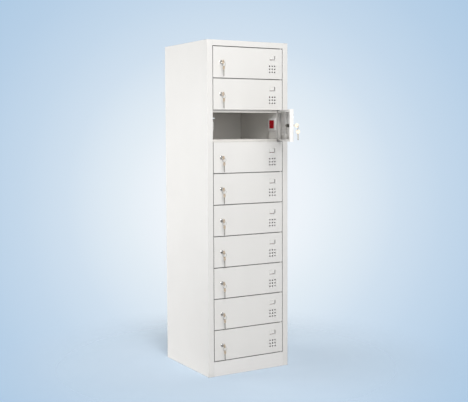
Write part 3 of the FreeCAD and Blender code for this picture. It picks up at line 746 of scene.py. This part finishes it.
@dataclass
class PowerSupply:
    """The mains parts: inlet, cable, clips, terminal blocks, socket plates and modules."""

    face_across: float = 0.1885
    duct_across: float = 0.197
    middle_depth: float = -0.1815
    first_level: float = 1.6732
    plate_width: float = 0.064
    plate_height: float = 0.070
    module_size: float = 0.045

    def build(self) -> None:
        """Builds the sockets and dresses the rest."""
        self.plates()
        self.modules()
        dress("terminal_blocks", TERMINAL_GREY, 0.5 * MM)
        dress("supply_cable", CABLE_GREY)
        dress("cable_clips", TERMINAL_GREY, 0.3 * MM)
        self.inlet()
        dress("inlet_pins", CONTACT_BRASS, 0.3 * MM)
        LOG.info("power supply: %d sockets", len(DOORS))

    def level(self, number: int) -> float:
        """Height of the middle of a compartment's socket."""
        return self.first_level - PITCH * (number - 1)

    def inlet(self) -> None:
        """Makes the mains inlet: a flange with two cross-head screws, and a body with its recess."""
        piece = Workpiece("mains_inlet", INLET_BLACK, ZINC_STEEL)
        across, level = 0.200, 0.040
        floor, seat, mouth = 0.2365, 0.249, 0.2515
        half, up, cut = 12 * MM, 8.25 * MM, 5.5 * MM
        recess = [
            (across - half, level - up), (across + half, level - up), (across + half, level + up - cut),
            (across + half - cut, level + up), (across - half + cut, level + up), (across - half, level + up - cut),
        ]
        screws = [(across + side * 19.5 * MM, level) for side in (-1, 1)]
        piece.plate(
            rounded((across - 25 * MM, level - 12 * MM), (across + 25 * MM, level + 12 * MM), 3 * MM),
            seat, mouth, facing_front, holes=[recess, *[turn(screw, 3.4 * MM, 24) for screw in screws]],
            bevel=0.45 * MM,
        )
        body = rounded((across - 14 * MM, level - 10 * MM), (across + 14 * MM, level + 10 * MM), 1.5 * MM)
        piece.plate(body, floor, seat + 0.2 * MM, facing_front, holes=[recess])
        piece.plate(body, 0.222, floor, facing_front, bevel=0.8 * MM)
        for screw in screws:
            cross = []
            for quarter in range(4):
                for along, aside in ((0.35, -0.35), (1.7, -0.35), (1.7, 0.35)):
                    angle = math.pi / 2 * quarter
                    cross.append((
                        screw[0] + (along * math.cos(angle) - aside * math.sin(angle)) * MM,
                        screw[1] + (along * math.sin(angle) + aside * math.cos(angle)) * MM,
                    ))
            piece.plate(turn(screw, 3.1 * MM, 24), seat, mouth - 1.3 * MM, facing_front, finish=1)
            piece.plate(
                turn(screw, 3.1 * MM, 24), mouth - 1.3 * MM, mouth - 0.2 * MM, facing_front, holes=[cross],
                bevel=0.15 * MM, finish=1,
            )
        show("power_inlet", piece.data(), Matrix(), Body.CABINET.of(), "mains_inlet")

    def plates(self) -> None:
        """Makes the white plates round the sockets, each a rounded frame."""
        piece = Workpiece("socket_plate", PLATE_WHITE)
        half_width, half_height = self.plate_width / 2, self.plate_height / 2
        window = self.module_size / 2 + 0.2 * MM
        for number in DOORS:
            centre = self.level(number)
            piece.plate(
                rounded(
                    (self.middle_depth - half_width, centre - half_height),
                    (self.middle_depth + half_width, centre + half_height), 2.5 * MM,
                ),
                0.190, self.duct_across, facing_side,
                holes=[rounded(
                    (self.middle_depth - window, centre - window),
                    (self.middle_depth + window, centre + window), 1.0 * MM,
                )],
                bevel=1.2 * MM,
            )
        show("socket_plates_moulded", piece.data(), Matrix(), Body.CABINET.of(), "socket_plates")

    def modules(self) -> None:
        """Makes the red socket modules, each with three pin slots in a shallow well."""
        piece = Workpiece("socket_module", SOCKET_RED, SOCKET_WELL)
        half = self.module_size / 2
        for number in DOORS:
            centre = self.level(number)
            slots = []
            for aside, above, width, height in ((0.0, 10.2, 4.2, 8.5), (-11.0, -8.1, 7.0, 4.2), (11.0, -8.1, 7.0, 4.2)):
                low = (self.middle_depth + (aside - width / 2) * MM, centre + (above - height / 2) * MM)
                slots.append(rounded(low, (low[0] + width * MM, low[1] + height * MM), 0.4 * MM, 2))
            piece.plate(
                rounded((self.middle_depth - half, centre - half), (self.middle_depth + half, centre + half), 1.0 * MM),
                self.face_across, self.duct_across, facing_side, holes=slots, bevel=0.3 * MM,
            )
            body = 19 * MM
            piece.plate(
                rounded((self.middle_depth - body, centre - body), (self.middle_depth + body, centre + body), 1.0 * MM),
                self.duct_across, 0.223, facing_side, bevel=0.5 * MM, finish=1,
            )
        show("socket_modules_moulded", piece.data(), Matrix(), Body.CABINET.of(), "socket_modules")


@dataclass
class Doors:
    """The ten doors, each with its lock, its key and the spare key on its ring."""

    pivot: Point2 = (0.2055, -0.243)
    first_middle: float = 1.6646
    free_edge: float = -0.4203
    hinge_edge: float = 0.0095
    half_height: float = 0.0814
    face: float = -0.007
    back: float = 0.013
    gauge: float = 0.001
    bend: float = 0.0015
    lip: float = 0.012
    lock_across: float = -0.3735
    open_door: int = 3
    open_angle: float = 65.0
    meshes: dict[str, bpy.types.Mesh] = field(default_factory=dict)

    def build(self) -> None:
        """Makes each mesh once and hangs it on the ten doors."""
        self.meshes = {
            "door": self.pan(),
            "lock_barrel": self.barrel(),
            "lock_core": self.core(),
            "spare_key": self.spare(),
        }
        bodies = {
            "door": Body.DOOR, "lock_barrel": Body.DOOR, "lock_core": Body.LOCK, "spare_key": Body.SPARE_KEY,
        }
        names = {
            "door": "door_pan", "lock_barrel": "lock_housing", "lock_core": "lock_plug", "spare_key": "key_ring",
        }
        for number in DOORS:
            at = self.place(number)
            for kind, shared in self.meshes.items():
                node, mesh, where = f"{kind}_{number:02d}", shared, at
                if number == self.open_door:
                    mesh, where = shared.copy(), Matrix()
                    mesh.transform(at)
                show(f"{names[kind]}_{number:02d}", mesh, where, bodies[kind].of(number), node)
            LOG.info("door %d with its lock and keys", number)

    def place(self, number: int) -> Matrix:
        """Where a door hangs at rest.

        Args:
            number: The compartment's number, from the top.

        Returns:
            The matrix from the door's own place to the cabinet's.
        """
        middle = self.first_middle - PITCH * (number - 1)
        at = Matrix.Translation((self.pivot[0], self.pivot[1], middle))
        if number == self.open_door:
            at = at @ Matrix.Rotation(math.radians(self.open_angle), 4, "Z")
        return at

    def pan(self) -> bpy.types.Mesh:
        """Makes the door: skin with vents, folded edges, card holder and stiffener.

        Returns:
            The door's mesh.
        """
        piece = Workpiece("door_pan", WHITE_PAINT)
        low, high = (self.free_edge, -self.half_height), (self.hinge_edge, self.half_height)
        vents = []
        for column in range(3):
            for row in range(3):
                across = self.hinge_edge - (48 + 16.4 * column) * MM
                up = self.half_height - (93 + 16.4 * row) * MM
                vents.append(turn((across, up), 4.2 * MM, 24))
        holder_low = (self.hinge_edge - 85 * MM, self.half_height - 63 * MM)
        holder_high = (self.hinge_edge - 44 * MM, self.half_height - 35 * MM)
        lock_hole = turn((self.lock_across, 0.0), 9.1 * MM, 32)
        rim = 3 * MM
        left, foot = holder_low[0] + rim, holder_low[1] + rim
        right, head = holder_high[0] - rim, holder_high[1] - rim
        side_slot = rounded((right - 3.8 * MM, foot), (right, head), 1.0 * MM, 3)
        foot_slot = rounded((left, foot), (right - 5.5 * MM, foot + 2.6 * MM), 0.9 * MM, 3)
        bend = self.bend
        skin = rounded((low[0] + bend, low[1] + bend), (high[0] - bend, high[1] - bend), 0.1 * MM, 1)
        piece.plate(
            skin, self.face, self.face + self.gauge, facing_front,
            holes=[lock_hole, side_slot, foot_slot, *vents], bevel=0.12 * MM,
        )
        outer, inner = [], []
        for step in range(5):
            angle = math.pi / 2 * step / 4
            outer.append((bend - bend * math.sin(angle), self.face + bend - bend * math.cos(angle)))
            inside = bend - self.gauge
            inner.append((bend - inside * math.sin(angle), self.face + bend - inside * math.cos(angle)))
        fold_outer, fold_inner = [], []
        for step in range(5):
            angle = math.pi / 2 * step / 4
            fold_outer.append((bend - bend * math.cos(angle), self.back - bend + bend * math.sin(angle)))
            inside = bend - self.gauge
            fold_inner.append((bend - inside * math.cos(angle), self.back - bend + inside * math.sin(angle)))
        section = [*outer, *fold_outer, (self.lip, self.back), (self.lip, self.back - self.gauge)]
        section += [*reversed(fold_inner), *reversed(inner)]
        piece.frame(section, low, high, facing_front)
        self.holder(piece, holder_low, holder_high)
        self.stiffener(piece)
        return piece.data()

    def holder(self, piece: Workpiece, low: Point2, high: Point2) -> None:
        """Adds the card holder's raised rim.

        Args:
            piece: The door.
            low: Lower left corner of the rim.
            high: Upper right corner of the rim.
        """
        proud, rim = 1.5 * MM, 3.0 * MM
        section = [
            (0.0, self.face + 0.05 * MM), (0.1 * MM, self.face - 0.9 * MM), (0.6 * MM, self.face - proud),
            (rim - 0.6 * MM, self.face - proud), (rim - 0.1 * MM, self.face - 0.9 * MM),
            (rim, self.face + 0.05 * MM),
        ]
        piece.frame(section, low, high, facing_front)

    def stiffener(self, piece: Workpiece) -> None:
        """Adds the hat-shaped stiffener behind the door's skin.

        Args:
            piece: The door.
        """
        middle = (self.free_edge + self.hinge_edge) / 2
        half, foot, gauge = 30 * MM, 12 * MM, self.gauge
        floor, crest = self.face + gauge, self.face + 14 * MM
        outline = [
            (middle - half - foot, floor), (middle - half - foot, floor + gauge), (middle - half, floor + gauge),
            (middle - half, crest), (middle + half, crest), (middle + half, floor + gauge),
            (middle + half + foot, floor + gauge), (middle + half + foot, floor),
            (middle + half - gauge, floor), (middle + half - gauge, crest - gauge),
            (middle - half + gauge, crest - gauge), (middle - half + gauge, floor),
        ]
        reach = self.half_height - gauge
        piece.plate(outline, -reach, reach, lambda u, v, w: Vector((u, v, w)), bevel=0.25 * MM)

    def across_lock(self, u: float, v: float, along: float) -> Vector:
        """Places a turned part's coordinates on the lock's axis."""
        return Vector((self.lock_across + u, along, v))

    def beside_lock(self, u: float, v: float, across: float) -> Vector:
        """Places a key's flat coordinates beside the lock's axis."""
        return Vector((self.lock_across + across, u, v))

    def barrel(self) -> bpy.types.Mesh:
        """Makes the lock's chromed rosette, threaded barrel and nut.

        Returns:
            The housing's mesh.
        """
        piece = Workpiece("lock_housing", LOCK_CHROME, ZINC_STEEL)
        rosette = [
            (6.9, -9.3), (7.2, -9.75), (7.9, -10.0), (8.8, -9.9), (9.9, -9.5), (10.6, -8.8), (10.95, -7.9),
            (11.0, -7.0), (9.0, -7.0), (9.0, -1.0), (6.9, -1.0),
        ]
        piece.lathe([(radius * MM, along * MM) for radius, along in rosette], self.across_lock, 40)
        thread = [(6.9, -1.2), (8.9, -1.2)]
        for crest in range(21):
            thread += [(9.0, crest), (8.45, crest + 0.5)]
        thread += [(8.6, 22.0), (6.9, 22.0)]
        piece.lathe([(radius * MM, along * MM) for radius, along in thread], self.across_lock, 40, finish=1)
        piece.plate(
            turn((0, 0), 14 * MM, 6), -6 * MM, -1 * MM, self.across_lock,
            holes=[turn((0, 0), 9.05 * MM, 32)], bevel=0.6 * MM, finish=1,
        )
        return piece.data()

    def key(self, piece: Workpiece, bow: Point2, hole: Point2, towards: float, reach: float, finish: int) -> None:
        """Adds a key: a round bow with its hole, and a cut blade with a thicker spine.

        Args:
            piece: The piece that the key belongs to.
            bow: Middle of the bow.
            hole: Middle of the bow's hole.
            towards: Direction of the blade, in degrees.
            reach: From the bow's middle to the tip, in metres.
            finish: Number of the bow's finish. The blade's comes after it.
        """
        radius, half = 10.6 * MM, 4.0 * MM
        neck = radius - 1.5 * MM
        turned = math.radians(towards)

        def drawn(points: Sequence[Point2]) -> list[Point2]:
            """Turns points along the key to where it hangs."""
            placed = []
            for along, side in points:
                placed.append((
                    bow[0] + along * math.cos(turned) - side * math.sin(turned),
                    bow[1] + along * math.sin(turned) + side * math.cos(turned),
                ))
            return placed

        cuts = []
        along, deep = reach - 4 * MM, True
        while along > neck + 7 * MM:
            cuts.append((along, half * (0.45 if deep else 0.95)))
            along -= 2.6 * MM
            deep = not deep
        tip = [(reach - 3 * MM, -half), (reach, -half * 0.3), (reach - 1.5 * MM, half * 0.45)]
        blade = [(neck, -half), *tip, *cuts, (neck + 5 * MM, half), (neck, half)]
        spine = [(neck, 0.2 * MM - half), (reach - 4 * MM, 0.2 * MM - half), (reach - 4 * MM, -half / 5), (neck, -half / 5)]
        piece.plate(
            turn(bow, radius, 40), -1.0 * MM, 1.0 * MM, self.beside_lock, holes=[turn(hole, 2.5 * MM, 20)],
            bevel=0.35 * MM, finish=finish,
        )
        piece.plate(drawn(blade), -0.7 * MM, 0.7 * MM, self.beside_lock, bevel=0.15 * MM, finish=finish + 1)
        piece.plate(drawn(spine), -0.95 * MM, 0.95 * MM, self.beside_lock, bevel=0.15 * MM, finish=finish + 1)

    def core(self) -> bpy.types.Mesh:
        """Makes the plug, the cam with its screw, and the key in the plug.

        Returns:
            The plug's mesh.
        """
        piece = Workpiece("lock_plug", LOCK_CHROME, ZINC_STEEL, KEY_BOW, KEY_NICKEL)
        plug = [(0, -9.55), (5.8, -9.55), (6.2, -9.7), (6.5, -9.4), (6.5, 22.4), (0, 22.4)]
        piece.lathe([(r * MM, y * MM) for r, y in plug], self.across_lock, 40, closed=False)
        foot, toe, half = -36 * MM, -42 * MM, 8 * MM
        cam = [*turn((0, 0), half, 24)[:13], (-half, foot), (-half / 2, toe), (half / 2, toe), (half, foot)]
        piece.plate(cam, 22.4 * MM, 24.4 * MM, self.across_lock, bevel=0.4 * MM, finish=1)
        piece.plate(turn((0, 0), 4 * MM, 6), 24.4 * MM, 27.4 * MM, self.across_lock, bevel=0.5 * MM, finish=1)
        self.key(piece, (-31 * MM, 0.0), (-37 * MM, 0.0), 0.0, 21.4 * MM, 2)
        return piece.data()

    def spare(self) -> bpy.types.Mesh:
        """Makes the ring and the spare key that hangs from it.

        Returns:
            The ring's and key's mesh.
        """
        piece = Workpiece("key_ring", KEY_BOW, KEY_NICKEL)
        wire = [(11 * MM + u, v) for u, v in turn((0, 0), 0.7 * MM, 10)]

        def on_ring(u: float, v: float, along: float) -> Vector:
            """Places the ring's coordinates under the key's hole."""
            return Vector((self.lock_across + u, -37 * MM + along, -12.5 * MM + v))

        piece.lathe(wire, on_ring, 48, finish=1)
        self.key(piece, (-37 * MM, -31 * MM), (-37 * MM, -25 * MM), 270.0, 44.5 * MM, 0)
        return piece.data()


@dataclass
class Studio:
    """Floor, backdrop, lamps and camera."""

    azimuth: float = 30.2676
    tilt: float = 3.4287
    roll: float = -0.2287
    focal_pixels: float = 877.29
    picture_width: float = 468.0
    picture_height: float = 402.0
    axis_row: float = 182.0
    position: tuple[float, float, float] = (-2.4390, -4.2719, 1.3124)

    def build(self) -> None:
        """Sets the whole studio up."""
        self.camera()
        self.world()
        self.floor()
        self.lamps()
        bpy.context.scene.view_settings.view_transform = "Standard"
        LOG.info("studio: camera %.1f degrees from the left", self.azimuth)

    def directions(self) -> tuple[Vector, Vector, Vector]:
        """The camera's directions.

        Returns:
            Right, up and forward.
        """
        azimuth, tilt, roll = (math.radians(a) for a in (self.azimuth, self.tilt, self.roll))
        forward = Vector((math.sin(azimuth) * math.cos(tilt), math.cos(azimuth) * math.cos(tilt), -math.sin(tilt)))
        level = Vector((math.cos(azimuth), -math.sin(azimuth), 0))
        up = level.cross(forward)
        right = level * math.cos(roll) + up * math.sin(roll)
        return right, up * math.cos(roll) - level * math.sin(roll), forward

    def camera(self) -> None:
        """Places the camera at the photograph's viewing angle."""
        right, up, forward = self.directions()
        data = bpy.data.cameras.new("camera")
        data.sensor_fit = "HORIZONTAL"
        data.sensor_width = 36.0
        data.lens = self.focal_pixels / self.picture_width * data.sensor_width
        data.shift_y = (self.axis_row - self.picture_height / 2) / self.picture_width
        data.clip_start, data.clip_end = 0.05, 200
        eye = bpy.data.objects.new("camera", data)
        bpy.context.scene.collection.objects.link(eye)
        turned = Matrix((right, up, -forward)).transposed().to_4x4()
        eye.matrix_world = Matrix.Translation(self.position) @ turned
        bpy.context.scene.camera = eye

    def world(self) -> None:
        """Makes the even light and the pale blue backdrop with its bright middle."""
        world = bpy.data.worlds.new("studio")
        bpy.context.scene.world = world
        world.use_nodes = True
        graph = Graph(world.node_tree)
        right, up, forward = self.directions()
        across, down = -2.0 / self.focal_pixels, (200.0 - self.axis_row) / self.focal_pixels
        middle = (forward + right * across - up * down).normalized()
        where = graph.add("ShaderNodeTexCoord").outputs["Generated"]
        straight = graph.add("ShaderNodeVectorMath", {0: where, 1: tuple(middle)}, operation="DOT_PRODUCT")
        share = graph.add(
            "ShaderNodeMapRange",
            {"Value": straight.outputs["Value"], "From Min": 0.94, "From Max": 1.0, "To Min": 0.0, "To Max": 1.0},
        )
        ramp = graph.add("ShaderNodeValToRGB", {"Fac": share.outputs["Result"]})
        stops = (
            (0.0, (174, 202, 228)), (0.30, (184, 208, 231)), (0.54, (196, 216, 235)), (0.71, (208, 224, 239)),
            (0.875, (227, 237, 245)), (0.95, (238, 244, 250)),
        )
        for index, (place, colour) in enumerate(stops):
            if index < 2:
                element = ramp.color_ramp.elements[index]
                element.position = place
            else:
                element = ramp.color_ramp.elements.new(place)
            element.color = linear(colour)
        backdrop = graph.add("ShaderNodeBackground", {"Color": ramp.outputs["Color"], "Strength": 1.0})
        even = graph.add("ShaderNodeBackground", {"Color": (0.98, 0.99, 1.0, 1.0), "Strength": 0.14})
        room = graph.add("ShaderNodeBackground", {"Color": (0.52, 0.50, 0.45, 1.0), "Strength": 1.0})
        rays = graph.add("ShaderNodeLightPath").outputs
        lit = graph.add(
            "ShaderNodeMixShader", {0: rays["Is Glossy Ray"], 1: even.outputs[0], 2: room.outputs[0]}
        )
        seen = graph.add(
            "ShaderNodeMath", {0: rays["Is Camera Ray"], 1: rays["Is Transmission Ray"]}, operation="MAXIMUM"
        )
        both = graph.add("ShaderNodeMixShader", {0: seen.outputs[0], 1: lit.outputs[0], 2: backdrop.outputs[0]})
        graph.add("ShaderNodeOutputWorld", {"Surface": both.outputs[0]})

    def floor(self) -> None:
        """Makes the pale floor, which fades into the backdrop away from the cabinet."""
        sheet = bmesh.new()
        bmesh.ops.create_circle(sheet, cap_ends=True, radius=6.0, segments=96)
        data = bpy.data.meshes.new("floor")
        sheet.to_mesh(data)
        sheet.free()
        ground = bpy.data.objects.new("floor", data)
        ground.location = (0, 0, -0.0005)
        bpy.context.scene.collection.objects.link(ground)
        paint = bpy.data.materials.new("studio_floor")
        paint.use_nodes = True
        graph = Graph(paint.node_tree)
        rays = graph.add("ShaderNodeLightPath").outputs
        shown = graph.blend(graph.spread(graph.grain(3.0), 0.0, 1.0), linear((212, 227, 241)), linear((208, 224, 239)))
        pale = graph.add("ShaderNodeMix", {"Factor": rays["Is Camera Ray"]}, data_type="RGBA")
        pale.inputs["A"].default_value = linear((231, 234, 239))
        graph.tree.links.new(shown, pale.inputs["B"])
        surface = graph.add("ShaderNodeBsdfDiffuse", {"Roughness": 0.6})
        graph.tree.links.new(next(out for out in pale.outputs if out.type == "RGBA"), surface.inputs["Color"])
        clear = graph.add("ShaderNodeBsdfTransparent")
        where = graph.add("ShaderNodeTexCoord").outputs["Object"]
        away = graph.add("ShaderNodeVectorMath", {0: where}, operation="LENGTH").outputs["Value"]
        fade = graph.add(
            "ShaderNodeMapRange",
            {"Value": away, "From Min": 0.3, "From Max": 1.5, "To Min": 0.3, "To Max": 1.0},
            interpolation_type="SMOOTHSTEP",
        )
        gone = graph.add(
            "ShaderNodeMath", {0: fade.outputs["Result"], 1: rays["Is Camera Ray"]}, operation="MULTIPLY"
        )
        both = graph.add("ShaderNodeMixShader", {0: gone.outputs[0], 1: surface.outputs[0], 2: clear.outputs[0]})
        graph.add("ShaderNodeOutputMaterial", {"Surface": both.outputs[0]})
        data.materials.append(paint)

    def lamp(self, name: str, place: Sequence[float], target: Sequence[float], size: float, power: float) -> None:
        """Adds a square soft lamp.

        Args:
            name: Its name.
            place: Where it hangs.
            target: The point it looks at.
            size: Its width, in metres.
            power: Its power, in watts.
        """
        data = bpy.data.lights.new(name, "AREA")
        data.shape = "SQUARE"
        data.size = size
        data.energy = power
        lamp = bpy.data.objects.new(name, data)
        bpy.context.scene.collection.objects.link(lamp)
        aim = Vector(target) - Vector(place)
        lamp.matrix_world = Matrix.Translation(place) @ aim.to_track_quat("-Z", "Y").to_matrix().to_4x4()

    def lamps(self) -> None:
        """Hangs the key lamp high at the front left, a wide one before the doors and one beside each side."""
        self.lamp("key_lamp", (-1.1, -3.0, 2.9), (0.0, -0.2, 1.2), 1.4, 60.5)
        self.lamp("front_lamp", (-1.2, -4.8, 2.6), (0.0, 0.0, 1.0), 3.2, 85.5)
        self.lamp("side_lamp", (-2.8, 2.2, 1.2), (-0.2, 0.0, 0.8), 2.0, 79.5)
        self.lamp("right_lamp", (3.0, 1.6, 1.6), (0.25, 0.1, 1.0), 2.0, 34.0)


def main() -> None:
    """Builds the cabinet's pieces in order."""
    logging.basicConfig(level=logging.INFO, format="%(name)s: %(message)s")
    CabinetShell().build()
    PowerSupply().build()
    Doors().build()
    Studio().build()


if __name__ == "__main__":
    main()
